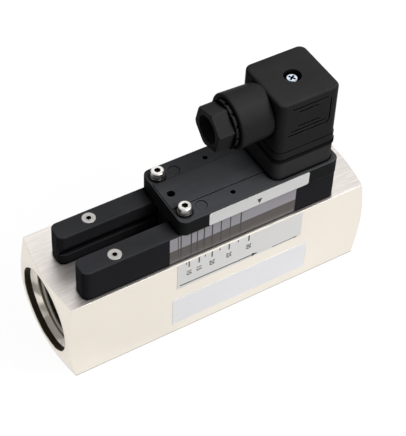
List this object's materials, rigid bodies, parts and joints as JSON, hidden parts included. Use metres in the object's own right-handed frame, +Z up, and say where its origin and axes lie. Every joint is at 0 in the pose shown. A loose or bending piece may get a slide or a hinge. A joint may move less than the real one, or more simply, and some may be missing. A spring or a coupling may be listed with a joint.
{
  "type": "variable area flow switch",
  "caption": "In-line flow switch: square nickel-plated brass body with threaded ports, sprung magnetic float inside, sliding reed switch head on a fork rail, square plug connector.",
  "frame": {"origin": "bottom centre of the square body, on the surface it stands on", "axes": "+X along the flow, from the inlet to the outlet; +Z up, towards the switch head; the labelled side faces -Y"},
  "size_m": [0.148, 0.0451, 0.1103],
  "materials": {
    "nickel_plated_brass": "brushed, nickel plated",
    "turned_brass": "turned",
    "stainless": "bright",
    "spring_steel": "drawn",
    "zinc_plated_steel": "blue zinc",
    "magnet": "sintered",
    "rail_plastic": "satin moulded",
    "housing_plastic": "finely textured",
    "plug_plastic": "satin moulded",
    "reed_glass": "clear",
    "contact_metal": "tin plated",
    "black_rubber": "matt",
    "scale_film": "printed film",
    "pointer_film": "printed film",
    "strip_foil": "metallised film"
  },
  "bodies": {
    "flow_body": {"brass_body": "nickel_plated_brass", "measuring_tube": "turned_brass", "inlet_guide": "turned_brass", "outlet_guide": "turned_brass", "guide_rod": "stainless", "rod_nuts": "stainless", "retaining_rings": "spring_steel", "float_spring": "spring_steel", "mounting_rail": "rail_plastic", "rail_screws": "stainless", "scale_label": "scale_film", "blank_label": "scale_film", "scale_strip": "strip_foil"},
    "float": {"float_head": "turned_brass", "ring_magnet": "magnet", "float_collar": "turned_brass"},
    "switch_head": {"switch_housing": "housing_plastic", "slide_shoe": "rail_plastic", "housing_screws": "stainless", "spring_washers": "stainless", "pointer_label": "pointer_film", "reed_carrier": "rail_plastic", "reed_switch": "reed_glass", "plug_base": "plug_plastic", "base_screws": "stainless", "screw_insert": "turned_brass", "contact_pins": "contact_metal"},
    "lock_screw": {"lock_screw": "stainless"},
    "plug": {"plug_housing": "plug_plastic", "profile_gasket": "black_rubber", "terminal_block": "plug_plastic", "socket_contacts": "contact_metal", "terminal_screws": "stainless", "screw_seal": "black_rubber", "gland_washer": "plug_plastic", "cable_grommet": "black_rubber"},
    "plug_screw": {"plug_screw": "zinc_plated_steel"},
    "gland_nut": {"gland_nut": "plug_plastic"}
  },
  "joints": [
    {"name": "float_slide", "type": "slide", "parent": "flow_body", "child": "float", "axis": [1, 0, 0], "range_m": [0, 0.034], "stiffness_N_per_m": 60, "springref_m": -0.012, "deforming": ["float_spring"]},
    {"name": "head_slide", "type": "slide", "parent": "flow_body", "child": "switch_head", "axis": [1, 0, 0], "range_m": [-0.04, 0]},
    {"name": "lock_screw_turn", "type": "hinge", "parent": "switch_head", "child": "lock_screw", "pos_m": [-0.0162, -0.0054, 0.05], "axis": [0, 0, 1], "continuous": true},
    {"name": "plug_pull", "type": "slide", "parent": "switch_head", "child": "plug", "axis": [0, 0, 1], "range_m": [0, 0.036]},
    {"name": "plug_screw_turn", "type": "hinge", "parent": "plug", "child": "plug_screw", "pos_m": [0.03945, -0.0054, 0.1075], "axis": [0, 0, 1], "continuous": true},
    {"name": "gland_nut_turn", "type": "hinge", "parent": "plug", "child": "gland_nut", "pos_m": [0.004, -0.0054, 0.0981], "axis": [1, 0, 0], "continuous": true}
  ]
}
